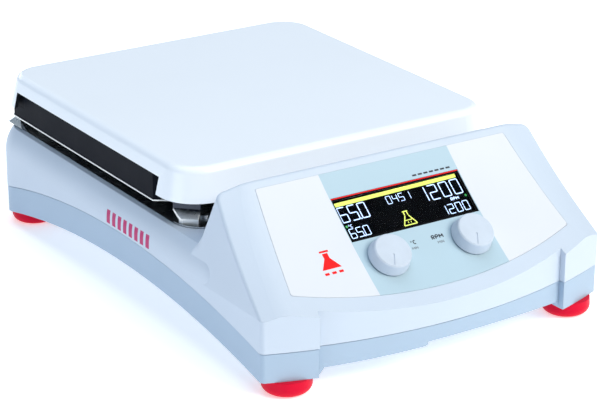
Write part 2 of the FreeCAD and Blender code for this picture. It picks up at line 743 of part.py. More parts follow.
def make_display_window():
    step = 1.5
    top = box(-DISPLAY_X + 1.1, DISPLAY_X - 1.1, -DISPLAY_H / 2 + 0.1, DISPLAY_H / 2 - 0.1, -0.6, 0.0)
    body = box(
        -DISPLAY_X + step + 0.1, DISPLAY_X - step - 0.1,
        -DISPLAY_H / 2 + step + 0.1, DISPLAY_H / 2 - step - 0.1, LENS_BACK, -0.6)
    return on_panel(fuse([top, body]), 0, DISPLAY_Y)


def make_display_module():
    half_x, half_y = DISPLAY_X - 4.0, DISPLAY_H / 2 - 3.0
    frame = box(-half_x, half_x, -half_y, half_y, -9.0, LCD_BACK)
    glass = box(-half_x - 2, half_x + 2, -half_y - 1.1, half_y + 1.1, LCD_BACK, LCD_FACE)
    pins = box(-half_x + 4, half_x - 4, -half_y + 1, -half_y + 2, BOARD_TOP, -9.0)
    return on_panel(fuse([frame, glass, pins]), 0, DISPLAY_Y)


def board_local(x0, x1, up0, up1, low, high):
    """A block in the panel's own directions, placed from the middle of the display."""
    return on_panel(box(x0, x1, up0, up1, low, high), 0, DISPLAY_Y)


def make_display_board():
    board = board_local(-62, 62, -48, 18, BOARD_TOP - 1.6, BOARD_TOP)
    for x, up in board_screw_places():
        board = board.cut(on_panel(rod(1.7, (x, up, -30), (0, 0, 1), 30), 0, DISPLAY_Y))
    return board


def board_screw_places():
    return [(sx * 57.0, up) for sx in (-1, 1) for up in (-43.0, 13.0)]


def make_board_posts():
    """Four spacers that hold the display board under the panel."""
    posts = []
    for x, up in board_screw_places():
        post = ring(3.0, 1.3, (x, up, BOARD_TOP), (0, 0, 1), 20)
        posts.append(on_panel(post, 0, DISPLAY_Y))
    roof = film_layer(-20, WALL)
    return compound([post.cut(roof) for post in posts])


def make_board_screws():
    screws = []
    for x, up in board_screw_places():
        head = rod(2.6, (x, up, BOARD_TOP - 3.6), (0, 0, 1), 2.0)
        shank = rod(1.3, (x, up, BOARD_TOP - 1.6), (0, 0, 1), 6.0)
        screws.append(on_panel(head.fuse(shank), 0, DISPLAY_Y))
    return compound(screws)


def make_encoder_body(x):
    """Square case with a threaded neck. A chamber inside leaves room for the push travel."""
    case = box(-7, 7, -7, 7, ENCODER_LOW, ENCODER_TOP)
    neck = rod(BUSH_R, (0, 0, ENCODER_TOP), (0, 0, 1), 0.8 - ENCODER_TOP)
    body = case.fuse(neck)
    body = body.cut(rod(SHAFT_R + FIT, (0, 0, ENCODER_TOP - 1), (0, 0, 1), 12))
    chamber = rod(4.9, (0, 0, ENCODER_LOW + 0.8), (0, 0, 1), ENCODER_TOP - ENCODER_LOW - 1.8)
    return on_panel(body.cut(chamber), x, KNOB_Y)


def make_encoder_plunger(x):
    collar = ring(4.5, SHAFT_R - 1 + FIT, (0, 0, PLUNGER_LOW), (0, 0, 1), 1.2)
    return on_panel(collar, x, KNOB_Y)


def make_knob_shaft(x):
    shoulder = PLUNGER_LOW + 1.5
    stem = rod(SHAFT_R, (0, 0, shoulder), (0, 0, 1), KNOB_TOP - 2.1 - shoulder)
    tip = rod(SHAFT_R - 1, (0, 0, PLUNGER_LOW - 0.2), (0, 0, 1), 1.7)
    return on_panel(stem.fuse(tip), x, KNOB_Y)


def make_knob(x):
    """A tapered cap with a small step under its face, hollow underneath round the neck."""
    outline = [
        (0, KNOB_TOP), (KNOB_FACE - 0.8, KNOB_TOP), (KNOB_FACE, KNOB_TOP - 0.8),
        (KNOB_BASE - 0.3, KNOB_GAP + 0.8), (KNOB_BASE, KNOB_GAP), (0, KNOB_GAP)]
    corners = [vec(r, 0, z) for r, z in outline]
    cap = Part.Face(Part.makePolygon(corners + corners[:1])).revolve(vec(0, 0, 0), vec(0, 0, 1), 360)
    cap = cap.cut(rod(7.0, (0, 0, KNOB_GAP), (0, 0, 1), 2.6))
    cap = cap.cut(rod(SHAFT_R, (0, 0, KNOB_GAP), (0, 0, 1), KNOB_TOP - 2.1 - KNOB_GAP))
    pointer = box(-0.5, 0.5, 1.2 - KNOB_FACE, -3.0, KNOB_TOP - 0.4, KNOB_TOP + 1)
    pointer = pointer.rotated(vec(0, 0, 0), vec(0, 0, 1), POINTER_TURN)
    return on_panel(cap.cut(pointer), x, KNOB_Y)


# Stirring drive

def motor_plate_screws():
    return [(sx * 52.0, PLATE_Y + sy * 52.0) for sx in (-1, 1) for sy in (-1, 1)]


def motor_screw_places():
    angles = [quarter * math.pi / 2 for quarter in range(4)]
    return [(18.0 * math.cos(angle), PLATE_Y + 18.0 * math.sin(angle)) for angle in angles]


def make_motor_plate():
    plate = rounded_block(60, PLATE_Y - 60, PLATE_Y + 60, 8, MOTOR_PLATE_LOW, DECK_UNDER)
    plate = plate.cut(rod(12.2, (0, PLATE_Y, 50), (0, 0, 1), 30))
    for x, y in motor_plate_screws():
        plate = plate.cut(rod(1.8, (x, y, 50), (0, 0, 1), 30))
    for x, y in motor_screw_places():
        plate = plate.cut(rod(1.8, (x, y, 50), (0, 0, 1), 30))
    return plate


def make_motor():
    can = rod(27, (0, PLATE_Y, MOTOR_LOW), (0, 0, 1), MOTOR_PLATE_LOW - MOTOR_LOW)
    rims = edges_near(can, lambda bound: bound.ZLength < 0.01)
    can = can.makeFillet(1.5, [edge for edge in rims if edge.BoundBox.ZMin < MOTOR_LOW + 1])
    neck = rod(12, (0, PLATE_Y, MOTOR_PLATE_LOW), (0, 0, 1), 5.0)
    motor = can.fuse(neck)
    motor = motor.cut(rod(BEARING_R, (0, PLATE_Y, MOTOR_PLATE_LOW), (0, 0, 1), 6.0))
    motor = motor.cut(rod(7, (0, PLATE_Y, MOTOR_LOW + 6), (0, 0, 1), MOTOR_PLATE_LOW - MOTOR_LOW))
    for x, y in motor_screw_places():
        motor = motor.cut(rod(1.3, (x, y, MOTOR_PLATE_LOW - 6), (0, 0, 1), 10))
    return motor


def make_bearing():
    return ring(BEARING_R, MOTOR_SHAFT_R + FIT, (0, PLATE_Y, MOTOR_PLATE_LOW), (0, 0, 1), 5.0)


def make_motor_shaft():
    return rod(MOTOR_SHAFT_R, (0, PLATE_Y, MOTOR_LOW + 8), (0, 0, 1), YOKE_LOW + 3 - MOTOR_LOW - 8)


def make_yoke():
    bar = box(-43, 43, PLATE_Y - 11, PLATE_Y + 11, YOKE_LOW, YOKE_LOW + 3)
    upright = edges_near(bar, lambda bound: bound.ZLength > 2)
    bar = bar.makeFillet(6.0, upright)
    hub = rod(7, (0, PLATE_Y, YOKE_LOW - 4), (0, 0, 1), 4)
    return bar.fuse(hub).cut(rod(MOTOR_SHAFT_R, (0, PLATE_Y, YOKE_LOW - 5), (0, 0, 1), 9))


def make_magnets():
    places = [(sign * MAGNET_PITCH / 2, PLATE_Y, YOKE_LOW + 3) for sign in (-1, 1)]
    return compound([rod(10, place, (0, 0, 1), 6) for place in places])


# Electronics in the base

def make_main_board():
    board = box(-88, 12, 108, 160, BOARD_Z, BOARD_Z + 1.6)
    for x, y in main_board_screws():
        board = board.cut(rod(1.7, (x, y, BOARD_Z - 1), (0, 0, 1), 4))
    return board


def main_board_screws():
    return [(x, y) for x in (-83.0, 7.0) for y in (113.0, 155.0)]


def make_board_pillars():
    pillars = [ring(3.0, 1.3, (x, y, 0), (0, 0, 1), BOARD_Z) for x, y in main_board_screws()]
    return compound([pillar.cut(under_arch(WALL)) for pillar in pillars])


def make_main_board_screws():
    screws = []
    for x, y in main_board_screws():
        head = rod(2.6, (x, y, BOARD_Z + 1.6), (0, 0, 1), 1.8)
        screws.append(head.fuse(rod(1.3, (x, y, BOARD_Z - 3.4), (0, 0, 1), 5.0)))
    return compound(screws)


def make_power_supply():
    core = box(20, 70, 112, 152, arch_z(112) + WALL + 0.4, 52)
    return core.makeFillet(2.0, core.Edges)


def make_triac():
    """Aluminium heat sink with upright fins, beside the main board."""
    base = box(-76, -36, 122, 146, BOARD_Z + 1.6, BOARD_Z + 4.6)
    fins = [box(x, x + 1.4, 122, 146, BOARD_Z + 4.6, BOARD_Z + 18) for x in range(-76, -37, 6)]
    return fuse([base] + fins)


# Sockets on the back

def make_mains_inlet():
    flange = box(INLET_X - 25, INLET_X + 25, BODY_REAR, BODY_REAR + 2.5, REAR_Z - 11.2, REAR_Z + 11.2)
    flange = flange.makeFillet(3.0, edges_near(flange, lambda bound: bound.YLength > 2))
    shell = box(
        INLET_X - 13.5, INLET_X + 13.5, BODY_REAR - 20, BODY_REAR, REAR_Z - 10.0, REAR_Z + 10.0)
    cavity = box(
        INLET_X - INLET_CAVITY_X, INLET_X + INLET_CAVITY_X, BODY_REAR - 17, BODY_REAR + 3,
        REAR_Z - INLET_CAVITY_Z, REAR_Z + INLET_CAVITY_Z)
    body = fuse([flange, shell]).cut(cavity).cut(make_inlet_pins())
    for x in (-20, 20):
        body = body.cut(rod(1.6, (INLET_X + x, BODY_REAR - 1, REAR_Z), (0, 1, 0), 5))
    return body


def make_inlet_pins():
    pins = []
    for dx, dz in ((-7, -1.6), (0, 2.4), (7, -1.6)):
        x, z = INLET_X + dx, REAR_Z + dz
        pins.append(box(x - 1, x + 1, BODY_REAR - 26, BODY_REAR - 3, z - 2, z + 2))
    return compound(pins)


def make_inlet_screws():
    screws = []
    for dx in (-20, 20):
        x = INLET_X + dx
        head = rod(2.6, (x, BODY_REAR + 2.5, REAR_Z), (0, 1, 0), 1.6)
        head = head.cut(box(x - 3, x + 3, BODY_REAR + 3.3, BODY_REAR + 6, REAR_Z - 0.4, REAR_Z + 0.4))
        screws.append(head.fuse(rod(1.5, (x, BODY_REAR + 0.1, REAR_Z), (0, 1, 0), 2.4)))
    return compound(screws)


def make_switch_frame():
    flange = box(SWITCH_X - 10.8, SWITCH_X + 10.8, BODY_REAR, BODY_REAR + 2, REAR_Z - 7.6, REAR_Z + 7.6)
    body = box(SWITCH_X - 9.5, SWITCH_X + 9.5, BODY_REAR - 14, BODY_REAR, REAR_Z - 6.3, REAR_Z + 6.3)
    well = box(SWITCH_X - 8.7, SWITCH_X + 8.7, BODY_REAR - 8, BODY_REAR + 3, REAR_Z - 5.4, REAR_Z + 5.4)
    return fuse([flange, body]).cut(well)


def make_rocker():
    """The rocker lies tilted in its off position; it turns about an axis parallel to Z."""
    y = SWITCH_PIVOT_Y
    points = [
        (-8.0, y + 2.6), (0, y + 1.6), (8.0, y + 2.6), (8.0, y - 1.0), (3.0, y - 4.0), (-3.0, y - 4.0),
        (-8.0, y - 1.0)]
    rocker = plan_prism([(SWITCH_X + x, py) for x, py in points], REAR_Z - 5.0, REAR_Z + 5.0)
    rocker.rotate(vec(SWITCH_X, y, REAR_Z), vec(0, 0, 1), -ROCKER_TILT)
    return rocker


def make_fuse_holder():
    flange = ring(FUSE_R + 2.2, FUSE_CAP_R + FIT, (FUSE_X, BODY_REAR, REAR_Z), (0, 1, 0), 1.6)
    barrel = ring(FUSE_R, FUSE_CAP_R + FIT, (FUSE_X, BODY_REAR - 22, REAR_Z), (0, 1, 0), 22)
    floor = rod(FUSE_R, (FUSE_X, BODY_REAR - 23.5, REAR_Z), (0, 1, 0), 1.5)
    return fuse([flange, barrel, floor])


def make_fuse_cap():
    cap = rod(FUSE_CAP_R, (FUSE_X, BODY_REAR - 8, REAR_Z), (0, 1, 0), 10.6)
    cap = cap.cut(rod(3.2, (FUSE_X, BODY_REAR - 9, REAR_Z), (0, 1, 0), 7))
    slot = box(FUSE_X - 4, FUSE_X + 4, BODY_REAR + 1.4, BODY_REAR + 4, REAR_Z - 0.7, REAR_Z + 0.7)
    return cap.cut(slot)


def make_fuse():
    return rod(2.5, (FUSE_X, BODY_REAR - 21.5, REAR_Z), (0, 1, 0), 19)


def make_probe_jack():
    nut = rod(JACK_R + 2.0, (JACK_X, BODY_REAR, REAR_Z), (0, 1, 0), 2.0)
    barrel = rod(JACK_R, (JACK_X, BODY_REAR - 16, REAR_Z), (0, 1, 0), 16)
    return fuse([nut, barrel]).cut(rod(JACK_HOLE_R, (JACK_X, BODY_REAR - 12, REAR_Z), (0, 1, 0), 16))


def make_rod_boss():
    half = 15.0
    low, high = REAR_Z - 11.0, REAR_Z + 13.0
    block = box(ROD_X - half, ROD_X + half, BODY_REAR, BODY_REAR + BOSS_DEPTH, low, high)
    block = block.makeFillet(5.0, edges_near(
        block, lambda bound: bound.ZLength > 10 and bound.YMin > BODY_REAR + 10))
    hole_y = BODY_REAR + BOSS_DEPTH / 2
    block = block.cut(rod(ROD_HOLE_R, (ROD_X, hole_y, low + 3.0), (0, 0, 1), 30))
    block = block.cut(rod(LOCK_R + FIT, (ROD_X, hole_y, REAR_Z + 2), (1, 0, 0), 30))
    for dx in (-10, 10):
        block = block.cut(rod(1.6, (ROD_X + dx, BODY_REAR - 1, REAR_Z), (0, 1, 0), 5))
    return block


def make_lock_screw():
    """Thumb screw that clamps a support rod in its socket."""
    y = BODY_REAR + BOSS_DEPTH / 2
    shank = rod(LOCK_R, (ROD_X + ROD_HOLE_R + 0.4, y, REAR_Z + 2), (1, 0, 0), 12.5)
    start = ROD_X + 16.5
    head = rod(8.0, (start, y, REAR_Z + 2), (1, 0, 0), 9.0)
    for step in range(8):
        angle = step * math.pi / 4
        groove = rod(1.7, (start - 1, y + 8.6 * math.cos(angle), REAR_Z + 2 + 8.6 * math.sin(angle)),
                     (1, 0, 0), 12)
        head = head.cut(groove)
    return fuse([shank, head])


def make_boss_screws():
    screws = []
    for dx in (-10, 10):
        x = ROD_X + dx
        head = rod(3.2, (x, BODY_REAR - WALL - 2.2, REAR_Z), (0, 1, 0), 2.2)
        screws.append(head.fuse(rod(1.6, (x, BODY_REAR - WALL, REAR_Z), (0, 1, 0), WALL + 3.6)))
    return compound(screws)


# Fasteners

def make_shell_screws():
    screws = []
    for x, y in shell_screw_places():
        head = rod(3.3, (x, y, 21.2), (0, 0, 1), 2.8)
        screws.append(head.fuse(rod(1.6, (x, y, 24), (0, 0, 1), 22)))
    return compound(screws)


def make_shield_screws():
    screws = []
    for x, y in deck_screw_places():
        head = rod(3.2, (x, y, POCKET_FLOOR + 0.8), (0, 0, 1), 1.8)
        screws.append(head.fuse(rod(1.6, (x, y, DECK_UNDER + 0.2), (0, 0, 1), 3.6)))
    return compound(screws)


def make_motor_screws():
    screws = []
    for x, y in motor_screw_places():
        head = rod(2.8, (x, y, DECK_UNDER), (0, 0, 1), 2.0)
        length = 5 + DECK_UNDER - MOTOR_PLATE_LOW
        screws.append(head.fuse(rod(1.3, (x, y, MOTOR_PLATE_LOW - 5), (0, 0, 1), length)))
    for x, y in motor_plate_screws():
        head = rod(3.0, (x, y, MOTOR_PLATE_LOW - 2), (0, 0, 1), 2.0)
        screws.append(head.fuse(rod(1.3, (x, y, MOTOR_PLATE_LOW), (0, 0, 1), 4.6)))
    return compound(screws)


def make_plate_sensor():
    top = PLATE_TOP - PLATE_THICK - 3.4
    return rod(1.8, (0, PLATE_Y + 2, top - 2.2), (0, 1, 0), 70)


def save(name, shape):
    shape.exportStep("parts/" + name + ".step")


os.makedirs("parts", exist_ok=True)
NODES = {
    "top_plate": make_top_plate(),
    "heating_element": make_heating_element(),
    "plate_insulation": make_insulation(),
    "plate_sensor": make_plate_sensor(),
    "heater_pan": make_heater_pan(),
    "reflector_plate": make_reflector_plate(),
    "heat_shield_tray": make_heat_shield(),
    "front_pan_brackets": make_front_brackets(),
    "rear_pan_brackets": make_rear_brackets(),
    "upper_housing": make_upper_housing(),
    "lower_base": make_lower_base(),
    "panel_overlay": make_overlay(),
    "overlay_centre_strip": make_centre_strip(),
    "display_window": make_display_window(),
    "display_module": make_display_module(),
    "display_board": make_display_board(),
    "display_board_spacers": make_board_posts(),
    "display_board_screws": make_board_screws(),
    "motor_mount_plate": make_motor_plate(),
    "stir_motor": make_motor(),
    "motor_bearing": make_bearing(),
    "motor_shaft": make_motor_shaft(),
    "magnet_yoke": make_yoke(),
    "drive_magnets": make_magnets(),
    "main_board": make_main_board(),
    "main_board_pillars": make_board_pillars(),
    "main_board_screws": make_main_board_screws(),
    "power_supply": make_power_supply(),
    "triac_heat_sink": make_triac(),
    "mains_inlet": make_mains_inlet(),
    "inlet_pins": make_inlet_pins(),
    "inlet_screws": make_inlet_screws(),
    "switch_frame": make_switch_frame(),
    "power_rocker": make_rocker(),
    "fuse_holder": make_fuse_holder(),
    "fuse_cap": make_fuse_cap(),
    "fuse": make_fuse(),
    "probe_jack": make_probe_jack(),
    "rod_boss": make_rod_boss(),
    "rod_lock_screw": make_lock_screw(),
    "rod_boss_screws": make_boss_screws(),
    "shell_screws": make_shell_screws(),
    "shield_screws": make_shield_screws(),
    "motor_screws": make_motor_screws(),
}
for foot_x, foot_y, place in feet_places():
    NODES["foot_" + place] = make_foot(foot_x, foot_y)
for side, knob_x, knob_name in (
        ("left", KNOB_LEFT_X, "temperature_knob"), ("right", KNOB_RIGHT_X, "speed_knob")):
    NODES[knob_name] = make_knob(knob_x)
    NODES["knob_shaft_" + side] = make_knob_shaft(knob_x)
    NODES["encoder_plunger_" + side] = make_encoder_plunger(knob_x)
    NODES["encoder_body_" + side] = make_encoder_body(knob_x)
for node, shape in NODES.items():
    save(node, shape)
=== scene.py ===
import json
import math

import bmesh
import bpy
from mathutils import Matrix, Vector
from mathutils.bvhtree import BVHTree


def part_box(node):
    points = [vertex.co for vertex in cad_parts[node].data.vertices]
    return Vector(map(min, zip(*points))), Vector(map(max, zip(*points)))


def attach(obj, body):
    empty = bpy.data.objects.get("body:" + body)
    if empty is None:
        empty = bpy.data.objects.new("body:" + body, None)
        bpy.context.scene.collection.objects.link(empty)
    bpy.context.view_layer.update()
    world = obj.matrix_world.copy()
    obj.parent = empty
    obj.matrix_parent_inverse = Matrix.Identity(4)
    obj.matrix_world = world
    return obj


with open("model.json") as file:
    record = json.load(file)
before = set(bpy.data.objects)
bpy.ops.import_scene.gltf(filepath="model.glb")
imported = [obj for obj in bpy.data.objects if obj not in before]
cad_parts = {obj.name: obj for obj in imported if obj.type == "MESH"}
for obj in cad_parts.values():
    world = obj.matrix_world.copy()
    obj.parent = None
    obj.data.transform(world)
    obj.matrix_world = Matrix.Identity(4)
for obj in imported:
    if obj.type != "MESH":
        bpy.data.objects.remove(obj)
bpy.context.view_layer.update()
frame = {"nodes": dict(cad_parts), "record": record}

MM = 0.001        # metres in a millimetre
FLAT = 0.00002    # points closer than this to a plane lie on it


# Node materials

class Nodes:
    """Short names for the shader nodes of one material."""

    def __init__(self, name):
        self.material = bpy.data.materials.new(name)
        self.material.use_nodes = True
        self.tree = self.material.node_tree
        self.shader = self.tree.nodes["Principled BSDF"]
        self.place = self.tree.nodes.new("ShaderNodeTexCoord").outputs["Object"]

    def put(self, socket, value):
        if isinstance(value, bpy.types.NodeSocket):
            self.tree.links.new(value, socket)
        else:
            socket.default_value = value

    def stretched(self, x, y, z):
        node = self.tree.nodes.new("ShaderNodeMapping")
        self.put(node.inputs["Vector"], self.place)
        node.inputs["Scale"].default_value = (x, y, z)
        return node.outputs["Vector"]

    def noise(self, scale, detail=3.0, place=None, rough=0.55):
        node = self.tree.nodes.new("ShaderNodeTexNoise")
        self.put(node.inputs["Vector"], place or self.place)
        node.inputs["Scale"].default_value = scale
        node.inputs["Detail"].default_value = detail
        node.inputs["Roughness"].default_value = rough
        return node.outputs["Fac"]

    def cells(self, scale):
        node = self.tree.nodes.new("ShaderNodeTexVoronoi")
        self.put(node.inputs["Vector"], self.place)
        node.inputs["Scale"].default_value = scale
        return node.outputs["Distance"]

    def span(self, value, low, high, to_low=0.0, to_high=1.0):
        node = self.tree.nodes.new("ShaderNodeMapRange")
        self.put(node.inputs["Value"], value)
        node.inputs["From Min"].default_value = low
        node.inputs["From Max"].default_value = high
        node.inputs["To Min"].default_value = to_low
        node.inputs["To Max"].default_value = to_high
        return node.outputs["Result"]

    def math(self, operation, a, b=0.0):
        node = self.tree.nodes.new("ShaderNodeMath")
        node.operation = operation
        self.put(node.inputs[0], a)
        self.put(node.inputs[1], b)
        return node.outputs["Value"]

    def axes(self, vector=None):
        node = self.tree.nodes.new("ShaderNodeSeparateXYZ")
        self.put(node.inputs[0], vector or self.place)
        return node.outputs["X"], node.outputs["Y"], node.outputs["Z"]

    def outward(self):
        return self.axes(self.tree.nodes.new("ShaderNodeNewGeometry").outputs["Normal"])

    def mix(self, factor, a, b):
        node = self.tree.nodes.new("ShaderNodeMix")
        node.data_type = "RGBA"
        self.put(node.inputs[0], factor)
        for socket, value in ((node.inputs[6], a), (node.inputs[7], b)):
            self.put(socket, value if isinstance(value, bpy.types.NodeSocket) else (*value, 1.0))
        return node.outputs[2]

    def rounded(self, radius):
        node = self.tree.nodes.new("ShaderNodeBevel")
        node.samples = 4
        node.inputs["Radius"].default_value = radius
        return node.outputs["Normal"]

    def edges(self, radius):
        """One along sharp edges and nought on flat faces."""
        geometry = self.tree.nodes.new("ShaderNodeNewGeometry")
        node = self.tree.nodes.new("ShaderNodeVectorMath")
        node.operation = "DOT_PRODUCT"
        self.put(node.inputs[0], self.rounded(radius))
        self.put(node.inputs[1], geometry.outputs["Normal"])
        return self.span(self.math("SUBTRACT", 1.0, node.outputs["Value"]), 0.02, 0.35)

    def bump(self, height, distance, strength, radius=0.0):
        """Raise the surface, and with a radius soften its sharp edges too."""
        node = self.tree.nodes.new("ShaderNodeBump")
        node.inputs["Strength"].default_value = strength
        node.inputs["Distance"].default_value = distance
        self.put(node.inputs["Height"], height)
        if radius:
            self.put(node.inputs["Normal"], self.rounded(radius))
        self.put(self.shader.inputs["Normal"], node.outputs["Normal"])

    def set(self, **values):
        """Fill the shader's sockets and give back the finished material."""
        for key, value in values.items():
            self.put(self.shader.inputs[key.replace("_", " ")], value)
        return self.material


def shade(color, factor):
    return tuple(min(1.0, c * factor) for c in color)


def coated_metal(name, color, rough, grain, depth, gloss=0.45):
    """Powder coat: an orange-peel skin with faint clouding and slightly worn edges."""
    radius = 0.0004
    n = Nodes(name)
    cloud = n.span(n.noise(14.0, 2.0), 0.35, 0.65)
    base = n.mix(cloud, shade(color, 0.985), shade(color, 1.01))
    worn = n.math("MULTIPLY", n.edges(radius * 1.5), n.span(n.noise(160.0, 4.0), 0.45, 0.7))
    base = n.mix(n.math("MULTIPLY", worn, 0.35), base, shade(color, 1.12))
    peel = n.noise(grain, 2.0, rough=0.4)
    n.bump(peel, depth, 0.35, radius)
    smear = n.noise(45.0, 5.0, rough=0.7)
    return n.set(Base_Color=base, Roughness=n.span(smear, 0.2, 0.8, rough - 0.04, rough + 0.05),
                 Specular_IOR_Level=gloss)


def enamel(name, color, painted_shade, node_name):
    """Fired ceramic, satin and faintly wavy; the skirt's inner walls and the plate's downward faces
    get painted shade, coloured near-black.
    """
    n = Nodes(name)
    cloud = n.span(n.noise(9.0, 2.0), 0.35, 0.65)
    base = n.mix(cloud, shade(color, 0.99), color)
    specks = n.span(n.cells(420.0), 0.0, 0.06)
    base = n.mix(specks, shade(color, 0.93), base)
    low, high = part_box(node_name)
    x, y, z = n.axes()
    out_x, out_y, out_z = n.outward()
    from_middle = n.math("ADD", n.math("MULTIPLY", x, out_x),
                         n.math("MULTIPLY", n.math("SUBTRACT", y, (low.y + high.y) / 2), out_y))
    inner_wall = n.math("LESS_THAN", from_middle, -0.01)
    looks_down = n.math("LESS_THAN", out_z, -0.5)
    under = n.math("MULTIPLY", looks_down, n.math("GREATER_THAN", z, low.z + 0.006))
    # Painted shade: the skirt's inner walls and the faces looking down are coloured near-black
    base = n.mix(n.math("MAXIMUM", inner_wall, under), base, painted_shade)
    n.bump(n.noise(120.0, 2.0), 0.00006, 0.25)
    rub_x = n.noise(3.0, 6.0, n.stretched(900.0, 12.0, 12.0), 0.75)
    rub_y = n.noise(3.0, 6.0, n.stretched(14.0, 700.0, 14.0), 0.75)
    rub = n.span(n.math("MAXIMUM", rub_x, rub_y), 0.55, 0.75, 0.30, 0.40)
    return n.set(Base_Color=base, Roughness=rub, Coat_Weight=0.12, Coat_Roughness=0.25)


def brushed(name, color, rough, along=(6.0, 900.0, 900.0)):
    """Bare metal with dull patches; rolled sheet has its grain along X."""
    n = Nodes(name)
    grain = n.noise(1.0, 4.0, n.stretched(*along), 0.7)
    patch = n.span(n.noise(38.0, 4.0), 0.35, 0.7)
    base = n.mix(grain, shade(color, 0.86), shade(color, 1.08))
    base = n.mix(n.math("MULTIPLY", patch, 0.3), base, shade(color, 0.72))
    n.bump(grain, 0.00003, 0.5, 0.0003)
    along_grain = n.span(grain, 0.2, 0.8, rough - 0.08, rough + 0.1)
    dull = n.math("ADD", along_grain, n.math("MULTIPLY", patch, 0.08))
    return n.set(Base_Color=base, Roughness=dull, Metallic=1.0)


def moulded(name, color, rough, coat=0.0, gloss=0.5):
    """Moulded plastic with a fine spark-eroded grain."""
    radius = 0.0003
    n = Nodes(name)
    cloud = n.span(n.noise(60.0, 3.0), 0.35, 0.65)
    base = n.mix(cloud, shade(color, 0.96), shade(color, 1.03))
    # Painted highlight: sharp edges are coloured a little lighter
    base = n.mix(n.math("MULTIPLY", n.edges(radius * 1.4), 0.3), base, shade(color, 1.25))
    n.bump(n.noise(1400.0, 2.0), 0.00004, 0.5, radius)
    handled = n.span(n.noise(140.0, 4.0), 0.3, 0.7, rough - 0.06, rough + 0.08)
    return n.set(Base_Color=base, Roughness=handled, Coat_Weight=coat, Specular_IOR_Level=gloss)


def rubber(name, color):
    """Matt rubber or felt, with dust caught in its pores."""
    n = Nodes(name)
    dust = n.span(n.noise(70.0, 6.0, rough=0.75), 0.52, 0.8)
    base = n.mix(n.math("MULTIPLY", dust, 0.10), color, (0.60, 0.10, 0.18))
    n.bump(n.math("ADD", n.noise(900.0, 2.0), n.math("MULTIPLY", dust, 0.6)), 0.00008, 0.5, 0.0006)
    dull = n.span(dust, 0.0, 1.0, 0.42, 0.62)
    return n.set(Base_Color=base, Roughness=dull, Specular_IOR_Level=0.12)


def film(name, color):
    """Printed polyester film: a fine embossed texture under a satin gloss."""
    n = Nodes(name)
    cloud = n.span(n.noise(30.0, 1.0), 0.0, 1.0)
    base = n.mix(cloud, shade(color, 0.985), shade(color, 1.01))
    n.bump(n.cells(1600.0), 0.00001, 0.15)
    satin = n.span(n.noise(14.0, 1.0), 0.0, 1.0, 0.32, 0.36)
    return n.set(Base_Color=base, Roughness=satin, Specular_IOR_Level=0.25)


def shaded_above_fold(name, color, node_name):
    """Folded sheet, coloured near-black above its fold as painted shade, bare steel below."""
    low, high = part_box(node_name)
    fold = low.z + (high.z - low.z) * 0.60
    n = Nodes(name)
    grain = n.noise(1.0, 4.0, n.stretched(900.0, 900.0, 6.0), 0.7)
    height = n.math("ADD", n.axes()[2], n.span(n.noise(90.0, 3.0), 0.3, 0.7, -0.0008, 0.0008))
    dark = n.span(height, fold - 0.001, fold + 0.001)
    base = n.mix(grain, shade(color, 0.82), shade(color, 1.08))
    # Painted shade: above the ragged fold line the sheet is coloured near-black
    base = n.mix(dark, base, (0.045, 0.052, 0.072))
    n.bump(grain, 0.00003, 0.5, 0.0006)
    return n.set(Base_Color=base, Roughness=n.span(grain, 0.2, 0.8, 0.24, 0.38), Metallic=0.75)


def lamp(name, color, strength):
    """A lit display segment, its glow varying a little from spot to spot."""
    n = Nodes(name)
    flicker = n.span(n.noise(600.0, 2.0), 0.3, 0.7, 0.9, 1.05)
    tint = n.mix(flicker, shade(color, 0.85), color)
    n.shader.inputs["Emission Strength"].default_value = strength
    return n.set(Base_Color=(*shade(color, 0.3), 1.0), Emission_Color=tint, Roughness=0.4)


def clear_lens(name):
    """Clear acrylic with a few finger smears; a low index stands for its anti-glare coat."""
    n = Nodes(name)
    smear = n.span(n.noise(55.0, 5.0, rough=0.7), 0.4, 0.75, 0.02, 0.09)
    n.shader.inputs["IOR"].default_value = 1.12
    n.shader.inputs["Specular IOR Level"].default_value = 0.08
    return n.set(Base_Color=(0.95, 0.97, 0.98, 1.0), Roughness=smear, Transmission_Weight=1.0)
